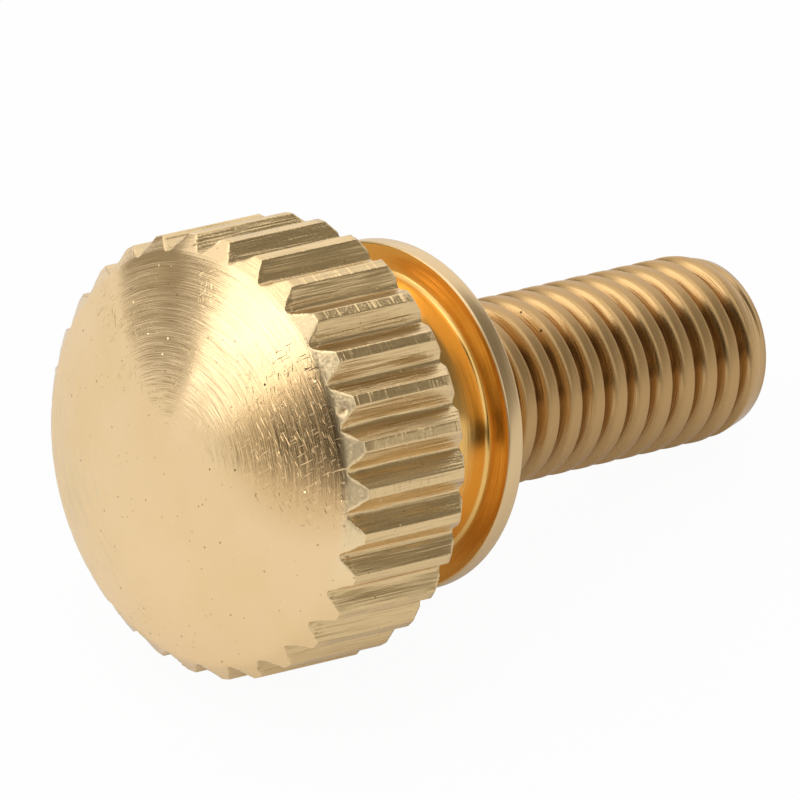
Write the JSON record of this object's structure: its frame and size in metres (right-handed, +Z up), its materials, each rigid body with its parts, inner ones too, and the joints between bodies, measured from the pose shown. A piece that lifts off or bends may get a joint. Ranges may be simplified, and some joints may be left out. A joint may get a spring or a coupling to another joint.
{
  "type": "thumb screw",
  "caption": "Solid brass thumb screw with a domed straight-knurled head, a polished neck, a thin seating collar and a threaded shank, lying on its side.",
  "frame": {"origin": "centre of the footprint's box, on the surface that the screw lies on", "axes": "+Z up; the screw's axis lies in the XZ plane and runs towards +X, 13.47 degrees down to the tip; Y is across"},
  "size_m": [0.0192, 0.011, 0.0115],
  "materials": {
    "brass": "satin, as turned"
  },
  "bodies": {
    "root": {"thumb_screw": "brass"}
  },
  "joints": []
}
